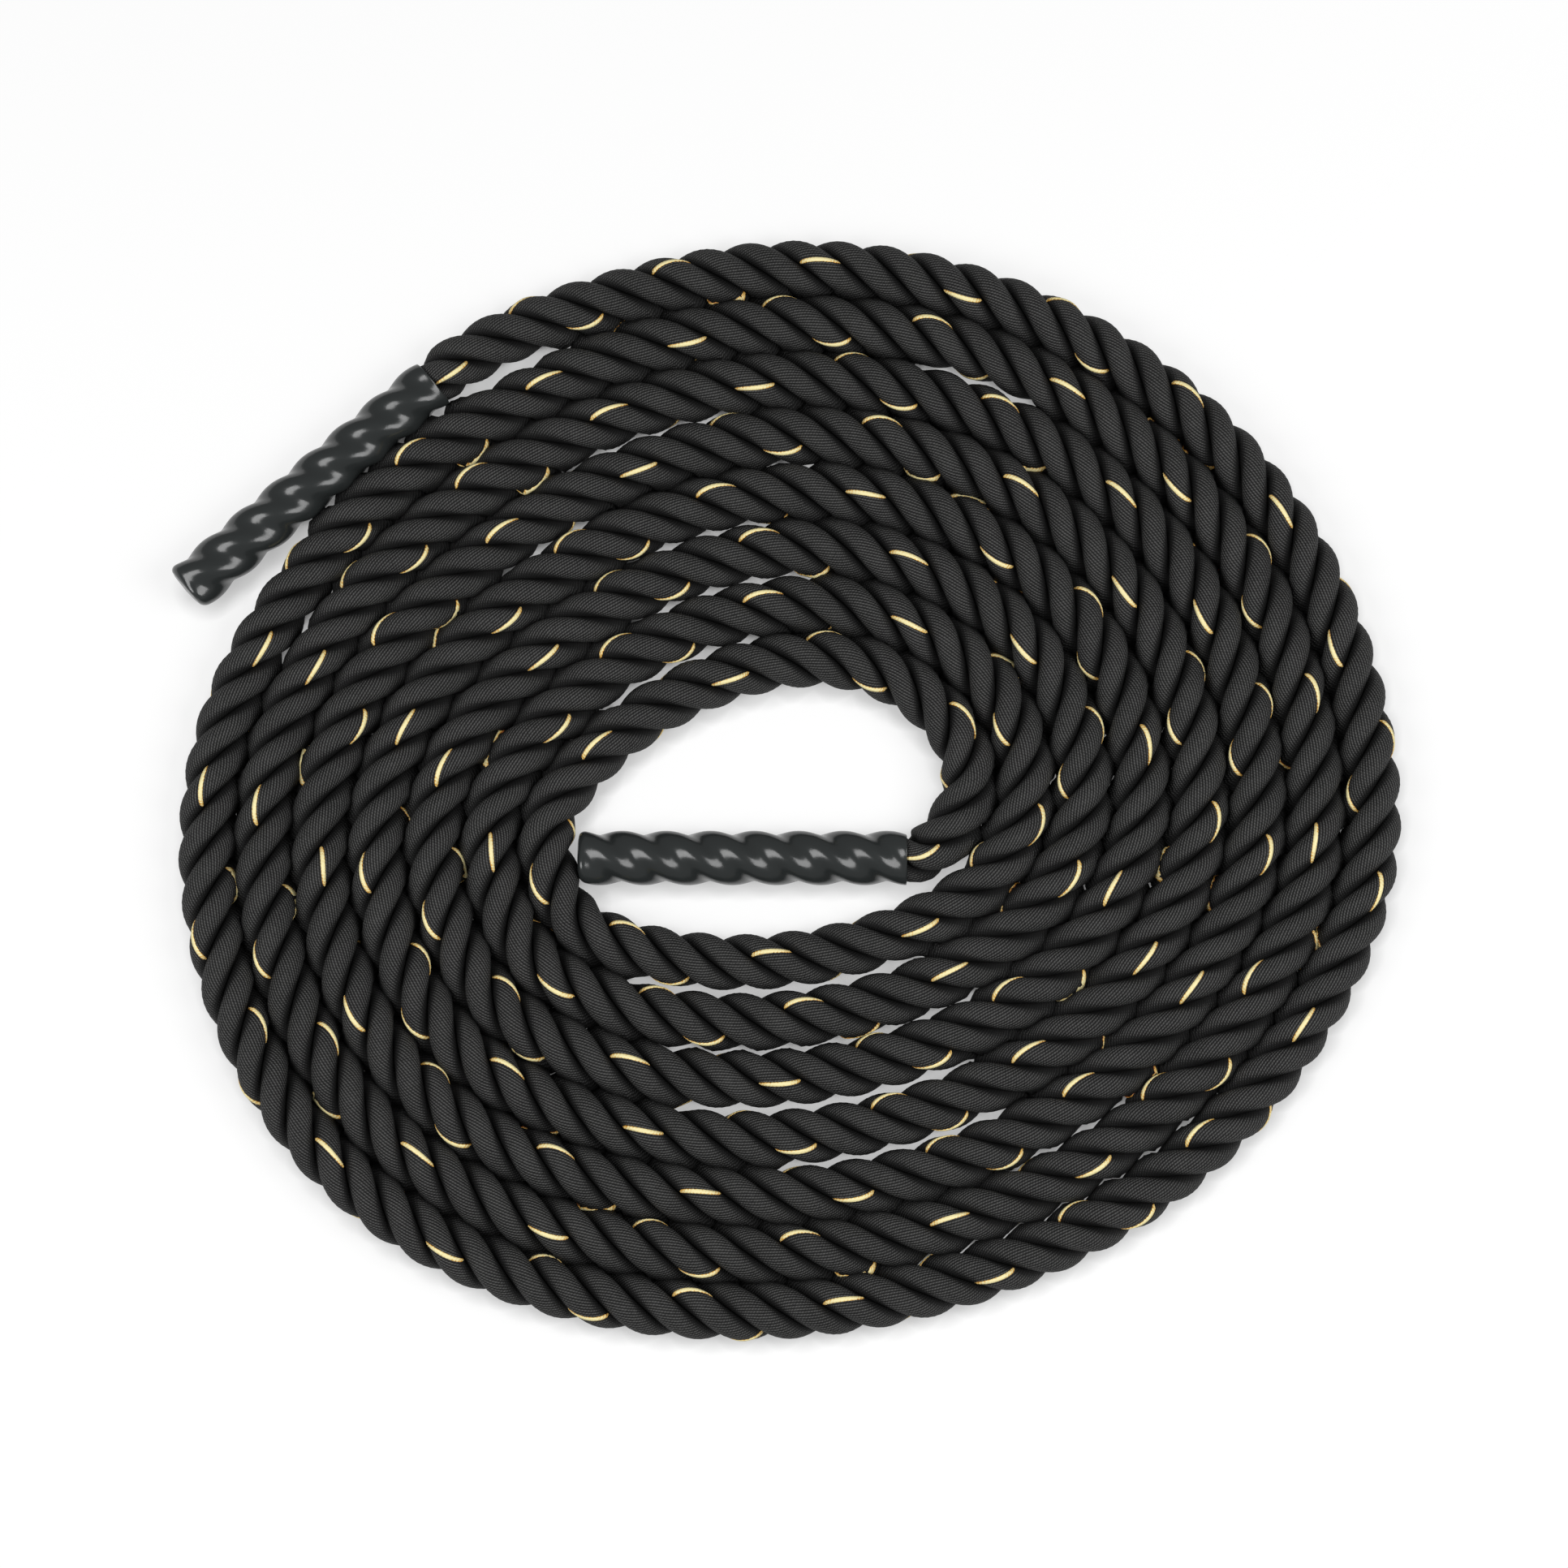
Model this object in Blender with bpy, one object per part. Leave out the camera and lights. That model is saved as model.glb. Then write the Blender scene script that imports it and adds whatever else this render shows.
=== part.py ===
"""Battle rope: a thick three-strand training rope, lying in one flat oval coil.

Each end of the rope is a grip: the three strands, bound with tape and held in a sleeve that was
shrunk on so tightly that it shows the strands' lay. One grip lies inside the coil, the other beside it.
Metres, with +Z up. Seen from above, +X is to the right and the coil runs anticlockwise from its inside.
"""

import math

import bmesh
import bpy
import numpy as np
from mathutils import Matrix, Vector
from mathutils.geometry import interpolate_bezier

# Rope
ROPE_DIAMETER = 0.038
FLATTENING = 0.1 * ROPE_DIAMETER      # how far its weight flattens the underside
FIT_GAP = 0.0003                      # between pieces that touch on the real rope

# Coil: a convex oval that reaches one pitch further out each turn. Angles tell the way that the
# rope's outer side faces, so that equal steps of angle bend the rope equally.
TURN_GAP = 0.00095
TURN_PITCH = ROPE_DIAMETER + TURN_GAP
STEPS_PER_TURN = 24
TURN_STEP = 360.0 / STEPS_PER_TURN
START_ANGLE = 105.0                   # the wound rope begins a little way past this
START_RUN = ROPE_DIAMETER / 4
LAST_ANGLE = 7 * 360.0 + 105.0        # where it leaves the last turn for the outer grip

# Waves of the oval: how many to a turn, height over mean reach, angle of a crest
OVAL_SHARES = ((1, 0.040, -5.6), (2, 0.248, 12.7), (3, 0.037, -33.9), (4, 0.023, -29.7), (5, 0.0144, 18.7))

# Places where the turns lie loosely: angle, half width, extra gap in the first turns and in the later ones
FIRST_TURNS = 3
SLACK_ZONES = ((100.0, 50.0, 0.0006, 0.0008), (275.0, 50.0, 0.0014, 0.0), (350.0, 30.0, 0.0013, 0.0011))

# Grips
GRIP_LENGTH = 0.223
GRIP_SQUEEZE = 0.00025                # the sleeve's crests lie this much inside the bare rope's
GRIP_RADIUS = ROPE_DIAMETER / 2 - GRIP_SQUEEZE
LAY_LENGTH = 0.091                    # length of one whole twist of the strands
VALLEY_DEPTH = 0.0036                 # of the sleeve between two strands
SLEEVE_WALL = 0.002
END_WALL = 0.003
END_ROUNDING = 0.008
TAPE_WIDTH = 0.025
TAPE_THICKNESS = 0.0008
STRANDS = 3
STEPS_PER_LAY = 11                    # rings along one lay
POINTS_PER_STRAND = 10                # points round the sleeve for each strand

# Lead: the rope leaves the inner grip in one bend, about its own diameter in radius
LEAD_RUN = 1.14 * ROPE_DIAMETER
LEAD_DROP = 1.43 * ROPE_DIAMETER
LEAD_STRAIGHT = 0.1 * ROPE_DIAMETER
LEAD_HANDLES = (0.45 * ROPE_DIAMETER, 0.5 * ROPE_DIAMETER)
LEAD_POINTS = 8
SEAT_GAP = 0.0025                     # between the inner grip's end and the first turn
SEAT_ANGLE = 195.0                    # where on the first turn that is

# Outer grip: the angle at its mouth, how far it turns in from the coil and how far out it lies
OUTER_MOUTH_ANGLE = 7 * 360.0 + 124.0
OUTER_TUCK = 7.0
OUTER_SHIFT = 0.002

# Heights of the centre lines over the floor
COIL_HEIGHT = ROPE_DIAMETER / 2 - FLATTENING
GRIP_HEIGHT = GRIP_RADIUS + FIT_GAP


def slack(angle):
    """Extra gap between the turn at this angle and the one inside it."""
    total = 0.0
    for centre, half_width, first_gap, later_gap in SLACK_ZONES:
        lap = round((angle - centre) / 360.0)
        offset = angle - centre - 360.0 * lap
        if lap >= 1 and abs(offset) < half_width:
            gap = first_gap if lap <= FIRST_TURNS else later_gap
            total += gap * math.cos(math.radians(90.0 * offset / half_width)) ** 2
    return total


def oval_share(angle):
    """How far the oval reaches the way that this angle faces, over its mean reach."""
    return 1.0 + sum(
        share * math.cos(math.radians(waves * (angle - crest))) for waves, share, crest in OVAL_SHARES
    )


def growth(angle):
    """How far the turns have grown out from the oval: a pitch for each, and the slack below them."""
    total = TURN_PITCH * angle / 360.0
    inner_angle = angle
    while inner_angle > 270.0:
        total += slack(inner_angle)
        inner_angle -= 360.0
    return total


def facing_point(reach, angle):
    """The point of a convex loop that faces this way, where reach tells how far the loop goes each way."""
    step = 0.05
    slope = (reach(angle + step) - reach(angle - step)) / math.radians(2 * step)
    outward = Vector((math.cos(math.radians(angle)), math.sin(math.radians(angle)), 0.0))
    along = Vector((-outward.y, outward.x, 0.0))
    return reach(angle) * outward + slope * along


def oval_reach():
    """The oval's mean reach, which leaves room across it for the inner grip and the bend at its mouth."""
    room = GRIP_LENGTH + LEAD_RUN + SEAT_GAP + ROPE_DIAMETER / 2
    grown_span = facing_point(growth, 0.0).x - facing_point(growth, SEAT_ANGLE).x
    oval_span_share = facing_point(oval_share, 0.0).x - facing_point(oval_share, SEAT_ANGLE).x
    return (room - grown_span) / oval_span_share


OVAL_REACH = oval_reach()


def route_point(angle, height=COIL_HEIGHT):
    """A point on the rope's centre line in the coil."""
    point = facing_point(lambda facing: OVAL_REACH * oval_share(facing) + growth(facing), angle)
    point.z = height
    return point


def inner_mouth():
    """Centre of the inner grip's mouth, and the direction from there to its closed end."""
    join = route_point(0.0)
    return Vector((join.x - LEAD_RUN, join.y - LEAD_DROP, GRIP_HEIGHT)), Vector((-1.0, 0.0, 0.0))


def outer_mouth():
    """Centre of the outer grip's mouth, and the direction from there to its closed end."""
    heading = math.radians(OUTER_MOUTH_ANGLE + OUTER_TUCK + 90.0)
    direction = Vector((math.cos(heading), math.sin(heading), 0.0))
    outward = Vector((direction.y, -direction.x, 0.0))
    return route_point(OUTER_MOUTH_ANGLE, GRIP_HEIGHT) + OUTER_SHIFT * outward, direction


def coil_start():
    """Where the wound rope begins, and which way it runs from there."""
    corner, following = route_point(START_ANGLE), route_point(START_ANGLE + TURN_STEP)
    heading = (following - corner).normalized()
    return corner + START_RUN * heading, heading


def coil_route():
    """Points of the wound rope, from the end of the lead to the mouth of the outer grip."""
    points = [coil_start()[0]]
    steps = round((LAST_ANGLE - START_ANGLE) / TURN_STEP)
    points += [route_point(START_ANGLE + TURN_STEP * index) for index in range(1, steps + 1)]
    mouth, direction = outer_mouth()
    points.append(mouth - (ROPE_DIAMETER + FIT_GAP) * direction)
    points.append(mouth - FIT_GAP * direction)
    return points


def lead_route():
    """Points of the free stretch from the inner grip, round its bend and up to the wound rope."""
    mouth, direction = inner_mouth()
    leave, arrive = LEAD_HANDLES
    begin = mouth - FIT_GAP * direction
    bend = begin - LEAD_STRAIGHT * direction
    join = route_point(0.0)
    points = [begin]
    points += interpolate_bezier(
        bend, bend - leave * direction, join - arrive * Vector((0.0, 1.0, 0.0)), join, LEAD_POINTS
    )
    points += [route_point(TURN_STEP * index) for index in range(1, round(START_ANGLE / TURN_STEP) + 1)]
    start, heading = coil_start()
    points.append(start - FIT_GAP * heading)
    return points


def route_length(points):
    """Length of the line through these points."""
    return sum((end - start).length for start, end in zip(points, points[1:]))


def least_turn_gap(points):
    """Least clear space between stretches of the tube that lie more than three diameters apart along it."""
    spots = []
    places = []
    travelled = 0.0
    for start, end in zip(points, points[1:]):
        run = (end - start).length
        count = math.ceil(run / (ROPE_DIAMETER / 8))
        for index in range(count):
            spots.append(start.lerp(end, index / count))
            places.append(travelled + run * index / count)
        travelled += run
    spots = np.array(spots)
    places = np.array(places)
    least = min(
        np.linalg.norm(spots[np.abs(places - place) > 3 * ROPE_DIAMETER] - spot, axis=1).min()
        for spot, place in zip(spots, places)
    )
    return float(least) - ROPE_DIAMETER


def material(name, colour, roughness):
    """A Principled material."""
    made = bpy.data.materials.new(name)
    made.use_nodes = True
    shader = made.node_tree.nodes["Principled BSDF"]
    shader.inputs["Base Color"].default_value = (*colour, 1.0)
    shader.inputs["Roughness"].default_value = roughness
    made.diffuse_color = (*colour, 1.0)
    return made


def add_object(name, mesh, parent, surface, sharp_angle):
    """Put a mesh in the rope's collection as a named piece."""
    piece = bpy.data.objects.new(name, mesh)
    bpy.data.collections["battle_rope"].objects.link(piece)
    piece.parent = parent
    mesh.materials.append(surface)
    mesh.shade_smooth()
    mesh.set_sharp_from_angle(angle=math.radians(sharp_angle))
    return piece


def add_empty(name, parent, location=(0.0, 0.0, 0.0), direction=None):
    """An empty that carries pieces; with a direction, its +Z axis points that way."""
    empty = bpy.data.objects.new(name, None)
    bpy.data.collections["battle_rope"].objects.link(empty)
    empty.parent = parent
    empty.location = location
    if direction is not None:
        empty.rotation_mode = "QUATERNION"
        empty.rotation_quaternion = direction.to_track_quat("Z", "Y")
    return empty


def rope_tube(name, points, parent, surface):
    """A run of bare rope as one tube with filled caps, its underside flat where it lies on the floor."""
    curve = bpy.data.curves.new(name, "CURVE")
    curve.dimensions = "3D"
    curve.twist_mode = "Z_UP"
    curve.bevel_depth = ROPE_DIAMETER / 2
    curve.bevel_resolution = 1
    curve.use_fill_caps = True
    spline = curve.splines.new("POLY")
    spline.points.add(len(points) - 1)
    for spot, point in zip(spline.points, points):
        spot.co = (*point, 1.0)
    guide = bpy.data.objects.new(name + "_guide", curve)
    bpy.data.collections["battle_rope"].objects.link(guide)
    graph = bpy.context.evaluated_depsgraph_get()
    mesh = bpy.data.meshes.new_from_object(guide.evaluated_get(graph))
    mesh.name = name
    bpy.data.objects.remove(guide)
    shape = bmesh.new()
    shape.from_mesh(mesh)
    bmesh.ops.remove_doubles(shape, verts=shape.verts, dist=FIT_GAP / 10)
    for vertex in shape.verts:
        vertex.co.z = max(vertex.co.z, 0.0)
    bmesh.ops.recalc_face_normals(shape, faces=shape.faces)
    shape.to_mesh(mesh)
    shape.free()
    return add_object(name, mesh, parent, surface, 65.0)


def lobed_radius(angle):
    """Outer radius of the sleeve: a crest over each strand, a narrower valley between two."""
    wave = (1.0 - math.cos(math.radians(STRANDS * angle))) / 2
    return GRIP_RADIUS - VALLEY_DEPTH * wave ** 1.5


def twisted(points, height):
    """A section at this height along the grip, turned by the right-hand lay of the strands."""
    turn = Matrix.Rotation(2 * math.pi * height / LAY_LENGTH, 3, "Z")
    return [turn @ Vector((x, y, 0.0)) + Vector((0.0, 0.0, height)) for x, y in points]


def full_section(inset):
    """All round the sleeve, this far inside its outer surface."""
    count = STRANDS * POINTS_PER_STRAND
    section = []
    for index in range(count):
        angle = 360.0 * index / count
        radius = lobed_radius(angle) - inset
        section.append((radius * math.cos(math.radians(angle)), radius * math.sin(math.radians(angle))))
    return section


def strand_section(inset, number):
    """One strand's rounded sector: an outer arc, and a flank towards each neighbour."""
    step = 360.0 / STRANDS / POINTS_PER_STRAND
    arc_steps = POINTS_PER_STRAND // 2 - 1
    middle = 360.0 * number / STRANDS
    section = []
    for index in range(-arc_steps, arc_steps + 1):
        angle = step * index
        radius = lobed_radius(angle) - inset
        section.append(Vector((radius, 0.0)) @ Matrix.Rotation(math.radians(-middle - angle), 2))
    flank_angle = 180.0 / STRANDS
    reach = lobed_radius(flank_angle) - inset
    for side, shares in ((1, (0.86, 0.12)), (-1, (0.12, 0.86))):
        ray = Vector((1.0, 0.0)) @ Matrix.Rotation(math.radians(-side * flank_angle), 2)
        inward = Vector((ray.y, -ray.x)) * side
        for share in shares:
            point = share * reach * ray + FIT_GAP / 2 * inward
            section.append(point @ Matrix.Rotation(math.radians(-middle), 2))
    return section


def stations():
    """Heights of the rings that every piece of a grip shares, with one where the tape begins."""
    bore_end = GRIP_LENGTH - END_WALL
    tape_start = bore_end - TAPE_WIDTH
    ring_step = LAY_LENGTH / STEPS_PER_LAY
    free_steps = round(tape_start / ring_step)
    tape_steps = round(TAPE_WIDTH / ring_step)
    free = [tape_start * index / free_steps for index in range(free_steps)]
    bound = [tape_start + TAPE_WIDTH * index / tape_steps for index in range(tape_steps + 1)]
    return free, bound


def loft(name, rings, parent, surface, closed=False):
    """Skin between unlike rings of points, capped at both ends or closed on itself.

    Nested pieces stay clear of each other because every quad is split the same way: from its lower
    point further from the axis to its upper point nearer to it.
    """
    shape = bmesh.new()
    loops = [[shape.verts.new(point) for point in ring] for ring in rings]
    pairs = list(zip(loops, loops[1:]))
    if closed:
        pairs.append((loops[-1], loops[0]))
    for first, second in pairs:
        for index in range(len(first)):
            after = (index + 1) % len(first)
            quad = (first[index], first[after], second[after], second[index])
            rising = first[index].co.z < second[index].co.z
            low, low_next = (first[index], first[after]) if rising else (second[index], second[after])
            outer_first = low.co.xy.length > low_next.co.xy.length
            if outer_first == rising:
                shape.faces.new((quad[0], quad[1], quad[2]))
                shape.faces.new((quad[0], quad[2], quad[3]))
            else:
                shape.faces.new((quad[0], quad[1], quad[3]))
                shape.faces.new((quad[1], quad[2], quad[3]))
    if not closed:
        shape.faces.new(loops[0])
        shape.faces.new(loops[-1])
    bmesh.ops.recalc_face_normals(shape, faces=shape.faces)
    mesh = bpy.data.meshes.new(name)
    shape.to_mesh(mesh)
    shape.free()
    return add_object(name, mesh, parent, surface, 50.0)


def sleeve_rings():
    """From the sleeve's closed end along its outside to the mouth, and back along its bore."""
    free, bound = stations()
    heights = free + bound
    outside = [height for height in heights if height < GRIP_LENGTH - 1.5 * END_ROUNDING]
    outside.append(GRIP_LENGTH - END_ROUNDING)
    rings = [
        twisted(full_section(END_ROUNDING / 2), GRIP_LENGTH),
        twisted(full_section(END_ROUNDING / 8), GRIP_LENGTH - END_ROUNDING / 3),
    ]
    rings += [twisted(full_section(0.0), height) for height in reversed(outside)]
    rings += [twisted(full_section(SLEEVE_WALL), height) for height in heights]
    return rings


def strand_rings(number):
    """From the mouth to the end, thinner where the tape draws the strands together."""
    free, bound = stations()
    bound[-1] -= FIT_GAP
    loose_inset = SLEEVE_WALL + FIT_GAP
    bound_inset = loose_inset + TAPE_THICKNESS + FIT_GAP
    rings = [twisted(strand_section(loose_inset, number), height) for height in free]
    rings += [twisted(strand_section(bound_inset, number), height) for height in bound]
    return rings


def tape_rings():
    """Along the outside of the tape and back along its inside."""
    heights = stations()[1]
    heights[-1] -= FIT_GAP
    inset = SLEEVE_WALL + FIT_GAP
    rings = [twisted(full_section(inset), height) for height in reversed(heights)]
    rings += [twisted(full_section(inset + TAPE_THICKNESS), height) for height in heights]
    return rings


def build_grip(side, mouth, direction, root, surfaces):
    """One grip: three strand ends, the tape that binds them and the sleeve, on an axis from the mouth."""
    axis = add_empty(side + "_grip_axis", root, mouth, direction)
    loft(side + "_grip_sleeve", sleeve_rings(), axis, surfaces["sleeve"])
    loft(side + "_end_tape", tape_rings(), axis, surfaces["tape"], closed=True)
    for number in range(STRANDS):
        loft(f"{side}_strand_end_{number + 1}", strand_rings(number), axis, surfaces["rope"])


def centre_on_origin(root):
    """Move the rope so that the middle of its underside is at the origin."""
    bpy.context.view_layer.update()
    corners = []
    for piece in bpy.data.collections["battle_rope"].objects:
        if piece.type == "MESH":
            corners += [piece.matrix_world @ vertex.co for vertex in piece.data.vertices]
    corners = np.array(corners)
    low, high = corners.min(axis=0), corners.max(axis=0)
    root.location = (-(low[0] + high[0]) / 2, -(low[1] + high[1]) / 2, -low[2])
    bpy.context.view_layer.update()
    return high - low


def main():
    for leftover in list(bpy.data.objects):
        bpy.data.objects.remove(leftover)
    bpy.context.scene.collection.children.link(bpy.data.collections.new("battle_rope"))
    surfaces = {
        "rope": material("black_polyester", (0.021, 0.023, 0.025), 0.85),
        "sleeve": material("shrunk_sleeve_black", (0.016, 0.018, 0.020), 0.3),
        "tape": material("binding_tape_black", (0.03, 0.03, 0.032), 0.6),
    }
    root = add_empty("battle_rope_origin", None)
    coil = coil_route()
    lead = lead_route()
    rope_tube("rope_coil", coil, root, surfaces["rope"])
    rope_tube("rope_lead", lead, root, surfaces["rope"])
    build_grip("inner", *inner_mouth(), root, surfaces)
    build_grip("outer", *outer_mouth(), root, surfaces)
    size = centre_on_origin(root)
    whole = route_length(coil) + route_length(lead) + 2 * GRIP_LENGTH
    print(f"least gap between turns {least_turn_gap(coil) * 1000:.2f} mm")
    print(f"lead {route_length(lead):.3f} m, coil {route_length(coil):.3f} m, whole rope {whole:.3f} m")
    print(f"size {size[0]:.3f} x {size[1]:.3f} x {size[2]:.3f} m, mean reach of the oval {OVAL_REACH:.4f} m")


main()
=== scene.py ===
"""Studio scene of a battle rope: three-strand training rope in a flat oval coil, with two shrunk grips.

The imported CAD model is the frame. The rope is swept again here as three laid strands and the one gold
marker yarn that runs in the first of them, and the grips get their finer sleeves. Metres, +Z up.
"""

import logging
import math
from collections.abc import Callable
from dataclasses import dataclass, field
from enum import Enum
from functools import partial

import bmesh
import bpy
import numpy as np
from mathutils import Matrix, Vector
from mathutils.geometry import interpolate_bezier


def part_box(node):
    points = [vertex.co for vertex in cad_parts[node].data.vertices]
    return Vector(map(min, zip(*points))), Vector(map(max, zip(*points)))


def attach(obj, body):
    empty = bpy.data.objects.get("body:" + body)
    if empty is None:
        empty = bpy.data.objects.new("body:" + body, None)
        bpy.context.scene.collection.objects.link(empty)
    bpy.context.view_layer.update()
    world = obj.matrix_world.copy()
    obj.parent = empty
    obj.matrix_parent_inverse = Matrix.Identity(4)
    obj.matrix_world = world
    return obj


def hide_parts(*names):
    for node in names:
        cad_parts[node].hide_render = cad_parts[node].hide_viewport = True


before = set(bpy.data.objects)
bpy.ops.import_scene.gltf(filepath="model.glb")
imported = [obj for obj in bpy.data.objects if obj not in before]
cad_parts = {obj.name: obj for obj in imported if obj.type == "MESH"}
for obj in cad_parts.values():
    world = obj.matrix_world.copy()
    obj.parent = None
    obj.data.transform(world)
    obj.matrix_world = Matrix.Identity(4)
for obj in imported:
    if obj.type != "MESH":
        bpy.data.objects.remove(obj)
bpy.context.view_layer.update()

LOG = logging.getLogger("battle_rope")
MM = 0.001
BODY = "root"
STRAND_MAP = "strand"

Colour = tuple[float, float, float, float]
Array = np.ndarray
Shape = bmesh.types.BMesh
Ring = list[bmesh.types.BMVert]
Adder = Callable[..., bpy.types.Node]


class Slot(Enum):
    """Names of the record's material slots."""

    ROPE = "black_polyester"
    SLEEVE = "shrunk_sleeve_black"


class End(Enum):
    """The two ends of the rope: the one inside the coil and the one beside it."""

    INNER = "inner"
    OUTER = "outer"


# Small tools


def linear_from_hex(code: str) -> Colour:
    """Turn an sRGB hex colour into linear RGBA.

    Args:
        code: Six hex digits, such as "2a2c2e".

    Returns:
        The linear colour with an alpha of 1.
    """
    shares = [int(code[place:place + 2], 16) / 255 for place in (0, 2, 4)]
    red, green, blue = (
        share / 12.92 if share <= 0.04045 else ((share + 0.055) / 1.055) ** 2.4 for share in shares
    )
    return red, green, blue, 1.0


def add_node(
    tree: bpy.types.NodeTree, kind: str, inputs: tuple | dict = (), **settings: object
) -> bpy.types.Node:
    """Add a node with its settings and links.

    Args:
        tree: The tree that gets the node.
        kind: The node's type, without the "ShaderNode" that each type name starts with.
        inputs: What its inputs get, in their order or by name. Each is a value, a socket, or a node
            that gives its first output.
        settings: Attributes of the node itself.

    Returns:
        The new node.
    """
    node = tree.nodes.new("ShaderNode" + kind)
    for name, value in settings.items():
        setattr(node, name, value)
    for name, value in inputs.items() if isinstance(inputs, dict) else enumerate(inputs):
        if isinstance(value, bpy.types.Node):
            value = value.outputs[0]
        if isinstance(value, bpy.types.NodeSocket):
            tree.links.new(value, node.inputs[name])
        else:
            node.inputs[name].default_value = value
    return node


def set_stops(ramp: bpy.types.ColorRamp, stops: list[tuple[float, Colour]]) -> None:
    """Give a new colour ramp its stops.

    Args:
        ramp: The ramp, which still has the two stops that it starts with.
        stops: The place and the linear colour of each stop, from the lowest place up.
    """
    for place, _ in stops[1:-1]:
        ramp.elements.new(place)
    for element, (place, colour) in zip(ramp.elements, stops):
        element.position = place
        element.color = colour


def new_material(name: str) -> tuple[bpy.types.Material, Adder]:
    """Start a node material that holds no nodes yet.

    Args:
        name: Name of the material.

    Returns:
        The material, and add_node for its own tree.
    """
    made = bpy.data.materials.new(name)
    made.use_nodes = True
    made.node_tree.nodes.clear()
    return made, partial(add_node, made.node_tree)


def end_in_shader(add: Adder, relief: dict, looks: dict) -> None:
    """End a material in a Principled shader whose surface is bumped.

    Args:
        add: Adds a node to the material.
        relief: Inputs of the bump: its height, strength and distance.
        looks: Inputs of the shader, such as its colour and roughness.
    """
    shader = add("BsdfPrincipled", {"Normal": add("Bump", relief), **looks})
    add("OutputMaterial", {"Surface": shader})


def read_strand_map(add: Adder) -> tuple[bpy.types.NodeSocket, bpy.types.NodeSocket]:
    """Read a swept piece's own map.

    Args:
        add: Adds a node to the material.

    Returns:
        The lays along the rope, and the turns round the piece.
    """
    parts = add("SeparateXYZ", (add("UVMap", uv_map=STRAND_MAP),))
    return parts.outputs["X"], parts.outputs["Y"]


def smooth_step(share: Array) -> Array:
    """Ease a share from 0 to 1 without a corner at either end."""
    share = np.clip(share, 0.0, 1.0)
    return share * share * (3.0 - 2.0 * share)


def add_piece(
    name: str, shape: Shape, surface: bpy.types.Material, slot: Slot, *replaced: str
) -> bpy.types.Object:
    """Make a piece of the rope from a finished bmesh, ride it on the rope's body and hide the CAD nodes that
    it stands for.

    Args:
        name: Name of the piece.
        shape: Its bmesh, which is freed here.
        surface: Its material.
        slot: Not used.
        replaced: CAD nodes that it stands for.

    Returns:
        The piece's object, riding on the rope's one body.
    """
    mesh = bpy.data.meshes.new(name)
    shape.to_mesh(mesh)
    shape.free()
    mesh.materials.append(surface)
    mesh.shade_smooth()
    piece = bpy.data.objects.new(name, mesh)
    bpy.context.scene.collection.objects.link(piece)
    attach(piece, BODY)
    if replaced:
        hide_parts(*replaced)
    LOG.info("%s: %d faces", name, len(mesh.polygons))
    return piece


def swept_tube(places: Array, marks: Array) -> Shape:
    """Bend a grid into a closed tube.

    Args:
        places: Points of the tube, rings by sides by 3; its last column repeats the first.
        marks: The two coordinates of the piece's UV map at each of those points.

    Returns:
        The tube, capped at both ends, with its faces outwards.
    """
    rings, sides = places.shape[0] - 1, places.shape[1] - 1
    flat = bmesh.new()
    flat.loops.layers.uv.new(STRAND_MAP)
    bmesh.ops.create_grid(flat, x_segments=rings, y_segments=sides, size=1.0)
    mesh = bpy.data.meshes.new("swept")
    flat.to_mesh(mesh)
    flat.free()
    spots = np.empty(len(mesh.vertices) * 3, np.float32)
    mesh.vertices.foreach_get("co", spots)
    spots = spots.reshape(-1, 3)
    ring = np.rint((spots[:, 0] + 1.0) / 2.0 * rings).astype(int)
    side = np.rint((spots[:, 1] + 1.0) / 2.0 * sides).astype(int)
    mesh.vertices.foreach_set("co", places[ring, side].astype(np.float32).ravel())
    corners = np.empty(len(mesh.loops), np.int32)
    mesh.loops.foreach_get("vertex_index", corners)
    strand_map = mesh.uv_layers[STRAND_MAP]
    strand_map.uv.foreach_set("vector", marks[ring, side][corners].astype(np.float32).ravel())
    tube = bmesh.new()
    tube.from_mesh(mesh)
    bpy.data.meshes.remove(mesh)
    tube.verts.ensure_lookup_table()
    seam = [tube.verts[int(index)] for index in np.flatnonzero((side == 0) | (side == sides))]
    bmesh.ops.remove_doubles(tube, verts=seam, dist=0.001 * MM)
    bmesh.ops.holes_fill(tube, edges=[edge for edge in tube.edges if edge.is_boundary], sides=0)
    bmesh.ops.recalc_face_normals(tube, faces=tube.faces)
    return tube


# Finishes


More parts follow.
